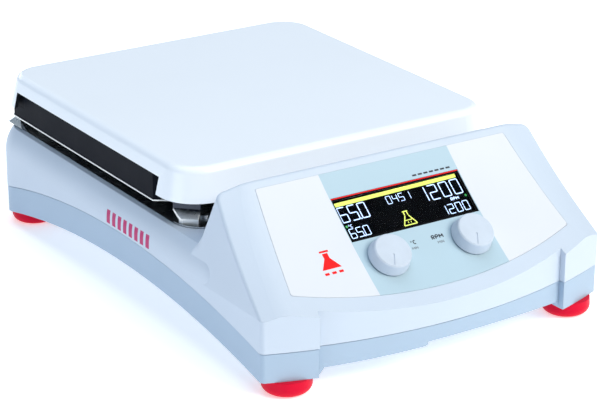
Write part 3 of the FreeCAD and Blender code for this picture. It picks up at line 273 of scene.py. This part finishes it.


# Colours matched by sample to the photo, as linear red, green and blue
WHITE_FILM = (0.66, 0.70, 0.775)
HOUSING = (0.528, 0.612, 0.735)
BASE = (0.362, 0.476, 0.620)
ENAMEL = (0.835, 0.895, 0.98)
# Near-black painted shade for the hidden inside and underside of the plate
PAINTED_SHADE_BLACK = (0.010, 0.013, 0.018)
BLACK_ENAMEL = (0.005, 0.007, 0.013)
ALUMINIUM = (0.72, 0.74, 0.77)
MATERIALS = {
    "plate_enamel": enamel("plate_enamel", ENAMEL, PAINTED_SHADE_BLACK, "top_plate"),
    "housing_blue": coated_metal("housing_blue", HOUSING, 0.42, 900.0, 0.00008),
    "base_blue": coated_metal("base_blue", BASE, 0.45, 900.0, 0.00008, gloss=0.35),
    "pan_black": coated_metal("pan_black", BLACK_ENAMEL, 0.55, 700.0, 0.00005, gloss=0.06),
    "sheet_steel": brushed("sheet_steel", (0.70, 0.73, 0.75), 0.26),
    "foot_red": rubber("foot_red", (0.66, 0.0, 0.028)),
    "overlay_white": film("overlay_white", WHITE_FILM),
    "strip_blue": film("strip_blue", (0.42, 0.565, 0.67)),
    "knob_grey": moulded("knob_grey", (0.524, 0.603, 0.72), 0.45),
    "lens_clear": clear_lens("lens_clear"),
    "lcd_dark": moulded("lcd_dark", (0.0012, 0.0012, 0.0024), 0.35, gloss=0.03),
    "board_green": moulded("board_green", (0.03, 0.17, 0.07), 0.35),
    "black_plastic": moulded("black_plastic", (0.018, 0.018, 0.02), 0.4),
    "red_plastic": moulded("red_plastic", (0.55, 0.015, 0.012), 0.3, coat=0.2),
    "pin_brass": brushed("pin_brass", (0.80, 0.60, 0.27), 0.28),
    "bright_steel": brushed("bright_steel", (0.66, 0.67, 0.68), 0.26, (260.0, 260.0, 260.0)),
    "motor_grey": coated_metal("motor_grey", (0.09, 0.095, 0.105), 0.4, 700.0, 0.00006),
    "magnet_nickel": brushed("magnet_nickel", (0.72, 0.71, 0.68), 0.14, (200.0, 200.0, 200.0)),
    "aluminium_plain": brushed("aluminium_plain", ALUMINIUM, 0.34, (500.0, 500.0, 8.0)),
    "insulation_white": rubber("insulation_white", (0.72, 0.70, 0.64)),
    "bracket_steel": shaded_above_fold("bracket_steel", (0.86, 0.88, 0.90), "front_pan_brackets"),
    "lit_white": lamp("lit_white", (0.52, 0.68, 1.0), 1.6),
    "lit_yellow": lamp("lit_yellow", (0.80, 0.92, 0.16), 1.1),
    "lit_green": lamp("lit_green", (0.05, 0.42, 0.10), 1.0),
    "ink_red": film("ink_red", (0.80, 0.006, 0.008)),
    "ink_magenta": film("ink_magenta", (0.46, 0.001, 0.125)),
    "ink_dark": film("ink_dark", (0.035, 0.040, 0.055)),
    "ink_grey": film("ink_grey", (0.22, 0.26, 0.31)),
    "ink_black": moulded("ink_black", (0.002, 0.002, 0.003), 0.5, gloss=0.05),
    "ink_white": film("ink_white", (0.88, 0.90, 0.92)),
}
for row in frame["record"]["subparts"]:
    node = frame["nodes"][row["node"]]
    node.data.materials.clear()
    node.data.materials.append(MATERIALS[row["material_slot"]])
frame["nodes"]["front_pan_brackets"].data.materials[0] = MATERIALS["bracket_steel"]


# Helpers for new pieces

def piece(name, data, material, body="machine"):
    """Put a new shape in the scene, riding on a body and standing for a material slot."""
    mesh = bpy.data.meshes.new(name)
    data.to_mesh(mesh)
    data.free()
    obj = bpy.data.objects.new(name, mesh)
    bpy.context.scene.collection.objects.link(obj)
    mesh.materials.append(MATERIALS[material])
    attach(obj, body)


def ends(values):
    values = list(values)
    return min(values), max(values)


def facing(node, hint):
    """The middle of a node's largest flat face that looks along hint, with X to the right."""
    hint = Vector(hint).normalized()
    mesh = frame["nodes"][node].data
    faces = [p for p in mesh.polygons if p.normal.dot(hint) > 0.97]
    top = max(faces, key=lambda p: p.area)
    normal = top.normal.copy()
    right = Vector((0, 0, 1)).cross(normal).normalized()
    up = normal.cross(right)
    level = [p for p in faces if abs((p.center - top.center).dot(normal)) < FLAT]
    spots = [mesh.vertices[i].co for p in level for i in p.vertices]
    origin = (sum(ends(s.dot(right) for s in spots)) / 2 * right
              + sum(ends(s.dot(up) for s in spots)) / 2 * up)
    origin = origin + normal * (top.center - origin).dot(normal)
    return Matrix((
        (right.x, up.x, normal.x, origin.x), (right.y, up.y, normal.y, origin.y),
        (right.z, up.z, normal.z, origin.z), (0, 0, 0, 1)))


def reach(node, place):
    """Half of a node's width and height on a face, in millimetres."""
    inverse = place.inverted()
    spots = [inverse @ v.co for v in frame["nodes"][node].data.vertices]
    spots = [s for s in spots if abs(s.z) < FLAT]
    return max(s.x for s in spots) / MM, max(s.y for s in spots) / MM


def prism(data, low, high):
    """Close the space between a lower and an upper ring of corners."""
    data.faces.new(high)
    data.faces.new(low[::-1])
    for i in range(len(low)):
        j = (i + 1) % len(low)
        data.faces.new((low[i], low[j], high[j], high[i]))


def flat_shapes(outlines, thickness, place):
    """Closed outlines in millimetres, given a small thickness and set on a face."""
    data = bmesh.new()
    for outline in outlines:
        low = [data.verts.new((x * MM, y * MM, 0)) for x, y in outline]
        high = [data.verts.new((x * MM, y * MM, thickness * MM)) for x, y in outline]
        prism(data, low, high)
    bmesh.ops.recalc_face_normals(data, faces=data.faces)
    data.transform(place)
    return data


def bar(x0, y0, x1, y1, width):
    """A straight stroke with pointed ends."""
    a, b = Vector((x0, y0)), Vector((x1, y1))
    along = (b - a).normalized() * width / 2
    side = Vector((-along.y, along.x))
    far_side = (a + along + side, b - along + side)
    near_side = (b - along - side, a + along - side)
    return [tuple(p) for p in (a, *far_side, b, *near_side)]


def block(x0, y0, x1, y1):
    return [(x0, y0), (x1, y0), (x1, y1), (x0, y1)]


def disc(x, y, radius, count=24):
    steps = [2 * math.pi * i / count for i in range(count)]
    return [(x + radius * math.cos(a), y + radius * math.sin(a)) for a in steps]


def ring(x, y, radius, stroke, count=16):
    """A ring as a chain of short strokes."""
    spots = disc(x, y, radius, count)
    return [bar(*spots[i], *spots[(i + 1) % count], stroke) for i in range(count)]


def chain(points, stroke):
    return [bar(*a, *b, stroke) for a, b in zip(points, points[1:])]


SEGMENTS = {"0": "abcdef", "1": "bc", "2": "abged", "4": "fgbc", "5": "afgcd", "6": "afgcde"}


def digit(symbol, x, y, width, height, stroke):
    """The lit bars of one seven-bar digit whose lower left corner is at x, y."""
    middle, top, end = y + height / 2, y + height, x + width
    strokes = {
        "a": (x, top, end, top), "g": (x, middle, end, middle), "d": (x, y, end, y),
        "f": (x, middle, x, top), "b": (end, middle, end, top),
        "e": (x, y, x, middle), "c": (end, y, end, middle)}
    return [bar(*strokes[name], stroke) for name in SEGMENTS[symbol]]


def number(text, x, y, width, height, gap, stroke):
    """Digits from left to right; a point is a small square in the gap before it."""
    point = 0.5
    shapes = []
    for symbol in text:
        if symbol == ".":
            middle = x - gap * 0.55
            shapes.append(block(middle - point, y - point, middle + point, y + point))
            continue
        shapes += digit(symbol, x, y, width, height, stroke)
        x += width + gap
    return shapes


# Each letter of a unit as strokes in a box one high
LETTERS = {
    "C": [[(0.7, 1), (0, 1), (0, 0), (0.7, 0)]],
    "I": [[(0, 0), (0, 1)]],
    "M": [[(0, 0), (0, 1), (0.45, 0.35), (0.9, 1), (0.9, 0)]],
    "N": [[(0, 0), (0, 1), (0.7, 0), (0.7, 1)]],
    "P": [[(0, 0), (0, 1), (0.7, 1), (0.7, 0.5), (0, 0.5)]],
    "R": [[(0, 0), (0, 1), (0.7, 1), (0.7, 0.5), (0, 0.5)], [(0.25, 0.5), (0.7, 0)]],
}


def unit(text, x, y, height, stroke):
    letter_gap = 0.35 * height
    shapes = []
    for letter in text:
        strokes = LETTERS[letter]
        for points in strokes:
            shapes += chain([(x + px * height, y + py * height) for px, py in points], stroke)
        x += max(px for points in strokes for px, py in points) * height + letter_gap
    return shapes


# The display's picture, in millimetres from the middle of its face

THIN = 0.05
PANEL_SLOPE = (0, -0.6, 0.8)
SKEW = math.radians(0.7)   # the picture sits a touch askew in its frame
lcd = facing("display_module", PANEL_SLOPE)
half_u = reach("display_module", lcd)[0]
left, right = 0.9 - half_u, half_u - 2.0
picture = lcd @ Matrix.Rotation(SKEW, 4, "Z") @ Matrix.Translation((0, 0.1 * MM, 0))
READINGS = (   # text, left, foot, width, height, gap, stroke
    ("65.0", left, -0.8, 5.6, 11.0, 2.3, 0.8),
    ("1200", right - 34.4, -0.8, 6.2, 10.9, 3.1, 0.8),
    ("0451", -10.8, 4.2, 3.4, 5.6, 1.7, 0.5),
    ("65.0", left + 0.9, -13.2, 3.9, 6.9, 1.6, 0.6),
    ("1200", right - 23.6, -13.8, 4.2, 6.9, 1.9, 0.6))
digits = [shape for reading in READINGS for shape in number(*reading)]
digits += unit("RPM", right - 12.2, -4.7, 2.1, 0.6)
digits += ring(left + 2.7, -3.6, 0.5, 0.4, 8) + unit("C", left + 3.9, -5.2, 1.9, 0.5)
piece("display_digits", flat_shapes(digits, THIN, picture), "lit_white")
band = [block(0.3 - half_u, 11.2, half_u - 1.6, 14.0)]
piece("display_bar", flat_shapes(band, THIN, picture), "lit_yellow")
dots = [disc(left + 0.9, -4.0, 0.9), disc(right + 0.4, -3.3, 0.9)]
piece("display_lamps", flat_shapes(dots, THIN, picture), "lit_green")

# A plain flask outline: neck, sloping sides, liquid line and two bubbles
neck, shoulder, foot, lip, bottom, wall = 1.3, 2.0, 5.3, 5.0, -5.2, 0.75
outline = [(-neck, lip), (-neck, shoulder), (-foot, bottom),
           (foot, bottom), (neck, shoulder), (neck, lip)]
flask = chain(outline, wall) + chain([(-neck - 1.0, lip), (neck + 1.0, lip)], wall)
flask += chain([(-2.9, -1.6), (2.9, -1.6)], 0.6)
flask += chain([(-1.1, -4.0), (-1.1, -2.6)], 0.5) + chain([(1.1, -4.0), (1.1, -2.6)], 0.5)
spot = picture @ Matrix.Translation((-2.2 * MM, -8.6 * MM, 0))
piece("display_flask", flat_shapes(flask, THIN, spot), "lit_yellow")


# Marks printed on the panel, in millimetres from the middle of the window

def surface(node):
    mesh = frame["nodes"][node].data
    faces = [tuple(p.vertices) for p in mesh.polygons]
    return BVHTree.FromPolygons([v.co for v in mesh.vertices], faces)


def printed(outlines, node, place):
    """Closed outlines laid on a node's curved face, a hair proud of it."""
    skin = surface(node)
    toward = place.to_3x3() @ Vector((0, 0, -1))
    data = bmesh.new()
    for outline in outlines:
        rings = []
        for lift in (-THIN, THIN):
            loop = []
            for x, y in outline:
                spot = skin.ray_cast(place @ Vector((x * MM, y * MM, 10 * MM)), toward)[0]
                loop.append(data.verts.new(spot - toward * lift * MM))
            rings.append(loop)
        prism(data, *rings)
    bmesh.ops.recalc_face_normals(data, faces=data.faces)
    return data


window = facing("display_window", PANEL_SLOPE)
window_u, window_v = reach("display_window", window)
line = [block(-window_u, window_v - 0.9, window_u, window_v - 0.1)]
piece("display_line", flat_shapes(line, 2 * THIN, window), "ink_red")

# A black border hides the pale seat under the lens's rim
out_u, out_v = window_u + 0.8, window_v + 0.8
in_left, in_right = 0.8 - window_u, window_u - 1.7
in_low, in_top = 1.6 - window_v, window_v - 2.0
border = [block(-out_u, in_top, out_u, out_v), block(-out_u, -out_v, out_u, in_low),
          block(-out_u, in_low, in_left, in_top), block(in_right, in_low, out_u, in_top)]
piece("display_frame", flat_shapes(border, THIN, window), "ink_black")

dark = unit("C", -8.6, -28.6, 2.4, 0.7) + ring(-10.2, -26.6, 0.5, 0.45, 8)
dark += unit("RPM", 6.2, -29.0, 2.9, 0.8)
piece("panel_units", printed(dark, "overlay_centre_strip", window), "ink_dark")
grey = unit("MIN", -11.6, -32.6, 1.9, 0.45) + unit("MIN", 9.0, -32.8, 2.0, 0.45)
piece("panel_timer_units", printed(grey, "overlay_centre_strip", window), "ink_grey")
dashes = (15.6, 20.2, 24.8, 29.4, 34.0, 38.6, 43.2)
rule = [block(x, 18.9, x + 3.3, 20.1) for x in dashes]
piece("panel_rule", printed(rule, "overlay_centre_strip", window), "ink_dark")

# A plain solid flask in two halves, a stopper over it and three dashes under it
left_half = [(0.0, -4.2), (-5.4, -4.2), (-1.5, 1.6), (-1.5, 4.4), (0.0, 4.4)]
right_half = [(-x, y) for x, y in reversed(left_half)]
mark = [left_half, right_half, block(-2.5, 5.0, 2.5, 6.0)]
mark += [block(x - 1.2, -7.2, x + 1.2, -5.9) for x in (-4.0, 0.0, 4.0)]
mark_scale, mark_x, mark_y = 1.35, -74.4, -25.6
mark = [[(mark_scale * x + mark_x, mark_scale * y + mark_y) for x, y in outline]
        for outline in mark]
piece("panel_flask", printed(mark, "panel_overlay", window), "ink_red")


# Thin black walls that close the pan's rounded rear corners up to the plate: a dark sheet set as
# painted shade in the skirt's rear corners

def shade_wall(side):
    """A thin upright black wall bent round one rear corner, standing as painted shade there; side
    is -1 on the left and 1 on the right.
    """
    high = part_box("heater_pan")[1]
    foot_z, top_z = 0.0921, 0.1030
    wall, corner, arm, clear = 0.0010, 0.012, 0.0235, 0.0001
    start_y, end_x = high.y - arm, high.x - arm
    turns = [math.radians(15 * i) for i in range(7)]
    rows = []
    for inset in (clear, clear + wall):
        far_x, far_y = high.x - inset, high.y - inset
        bend = corner - inset
        path = [(far_x, start_y)]
        path += [(far_x - bend + bend * math.cos(t), far_y - bend + bend * math.sin(t))
                 for t in turns]
        path.append((end_x, far_y))
        rows += [[(side * x, y, z) for x, y in path] for z in (foot_z, top_z)]
    data = bmesh.new()
    loops = [[data.verts.new(spot) for spot in row] for row in (rows[0], rows[1], rows[3], rows[2])]
    for k in range(4):
        a, b = loops[k], loops[(k + 1) % 4]
        for i in range(len(a) - 1):
            data.faces.new((a[i], a[i + 1], b[i + 1], b[i]))
    for i in (0, -1):
        data.faces.new([loop[i] for loop in loops])
    bmesh.ops.recalc_face_normals(data, faces=data.faces)
    return data


for name, side in (("shade_wall_left", -1), ("shade_wall_right", 1)):
    piece(name, shade_wall(side), "pan_black")


# Stripes on the left side, laid on the housing's surface

STRIPES, FIRST_Y, PITCH, STRIPE_WIDTH = 8, 0.0098, 0.0077, 0.0046
STRIPE_LOW, STRIPE_HIGH, STRIPE_ROWS = 0.0540, 0.0636, 6
side_skin = surface("upper_housing")
outside_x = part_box("upper_housing")[0].x - 0.1


def on_side(y, z, lift):
    start = Vector((outside_x, y, z))
    spot, normal = side_skin.ray_cast(start, Vector((1, 0, 0)))[:2]
    return spot + normal * lift


def stripes():
    """Upright bars that follow the curved side, their outer face a hair proud of it."""
    rows = STRIPE_ROWS
    levels = [STRIPE_LOW + (STRIPE_HIGH - STRIPE_LOW) * j / rows for j in range(rows + 1)]
    data = bmesh.new()
    for i in range(STRIPES):
        y = FIRST_Y - i * PITCH
        columns = []
        for lift in (0.00004, -0.0002):
            for shift in (0, STRIPE_WIDTH):
                columns.append([data.verts.new(on_side(y - shift, z, lift)) for z in levels])
        near, far, near_in, far_in = columns
        for j in range(rows):
            data.faces.new((near[j], near[j + 1], far[j + 1], far[j]))
            data.faces.new((near_in[j], far_in[j], far_in[j + 1], near_in[j + 1]))
            data.faces.new((near[j], near_in[j], near_in[j + 1], near[j + 1]))
            data.faces.new((far[j], far[j + 1], far_in[j + 1], far_in[j]))
        for j in (0, rows):
            data.faces.new((near[j], far[j], far_in[j], near_in[j]))
    bmesh.ops.recalc_face_normals(data, faces=data.faces)
    return data


piece("side_stripes", stripes(), "ink_magenta")


# On and off marks on the mains switch

rocker = facing("power_rocker", (0, 1, 0.1))
marks = chain([(3.6, -1.5), (3.6, 1.5)], 0.5) + ring(-3.6, 0.0, 1.5, 0.5)
piece("rocker_marks", flat_shapes(marks, THIN, rocker),
      "ink_white", "power_switch_rocker")


# Camera at the picture's viewing angle

CAMERA_PLACE = (-0.825119, -1.282263, 0.639629)
CAMERA_ANGLES = (-33.416, 21.539, -0.241)   # round the part, up, and roll, in degrees
FOCAL_LENGTH, SENSOR = 134.52, 36.0
azimuth, elevation, roll = (math.radians(angle) for angle in CAMERA_ANGLES)
back = Vector((math.sin(azimuth) * math.cos(elevation), -math.cos(azimuth) * math.cos(elevation),
               math.sin(elevation)))
across = Vector((math.cos(azimuth), math.sin(azimuth), 0))
upward = back.cross(across)
turned_across = across * math.cos(roll) - upward * math.sin(roll)
turned_upward = across * math.sin(roll) + upward * math.cos(roll)
camera_data = bpy.data.cameras.new("camera")
camera_data.lens = FOCAL_LENGTH
camera_data.sensor_width = SENSOR
camera_data.clip_end = 50
camera = bpy.data.objects.new("camera", camera_data)
bpy.context.scene.collection.objects.link(camera)
turned = Matrix((turned_across, turned_upward, back)).transposed()
camera.matrix_world = Matrix.Translation(CAMERA_PLACE) @ turned.to_4x4()
bpy.context.scene.camera = camera


# Floor and studio light; sizes and places in metres, powers in watts

FLOOR_REACH, FLOOR_GLOW = 12.0, 0.50
LIGHT_AIM = Vector((0, 0, 0.05))
LIGHTS = {   # place, size, power, color
    "key": ((1.4, -2.6, 2.4), (2.2, 1.6), 116, (1.0, 0.93, 0.80)),
    "top": ((0.0, 0.4, 3.2), (3.0, 3.0), 61, (0.86, 0.92, 1.0)),
    "left_low": ((-3.2, -0.3, 0.25), (2.0, 0.4), 14.5, (0.86, 0.94, 1.0)),
    "rear": ((0.0, 3.2, 0.9), (1.6, 0.8), 14, (0.92, 0.96, 1.0)),
}
SKY, SKY_STRENGTH = (0.60, 0.80, 1.0, 1.0), 0.27

floor_data = bmesh.new()
bmesh.ops.create_grid(floor_data, x_segments=1, y_segments=1, size=FLOOR_REACH)
floor_mesh = bpy.data.meshes.new("floor")
floor_data.to_mesh(floor_mesh)
floor_data.free()
floor = bpy.data.objects.new("floor", floor_mesh)
bpy.context.scene.collection.objects.link(floor)
paper = Nodes("floor_pale")
paper.shader.inputs["Emission Color"].default_value = (1.0, 1.0, 1.0, 1.0)
paper.shader.inputs["Emission Strength"].default_value = FLOOR_GLOW
tint = paper.mix(paper.noise(2.0), (0.94, 0.95, 0.96), (0.96, 0.97, 0.98))
floor_mesh.materials.append(paper.set(Base_Color=tint, Roughness=0.9, Specular_IOR_Level=0.1))


def area_light(name, place, size, power, color):
    data = bpy.data.lights.new(name, "AREA")
    data.shape = "RECTANGLE"
    data.size, data.size_y = size
    data.energy = power
    data.color = color
    light = bpy.data.objects.new(name, data)
    bpy.context.scene.collection.objects.link(light)
    light.location = place
    light.rotation_euler = (LIGHT_AIM - Vector(place)).to_track_quat("-Z", "Y").to_euler()


for name, (place, size, power, color) in LIGHTS.items():
    area_light(name, place, size, power, color)

world = bpy.data.worlds.new("studio")
bpy.context.scene.world = world
world.use_nodes = True
background = world.node_tree.nodes["Background"]
background.inputs["Color"].default_value = SKY
background.inputs["Strength"].default_value = SKY_STRENGTH
bpy.context.scene.view_settings.view_transform = "Standard"
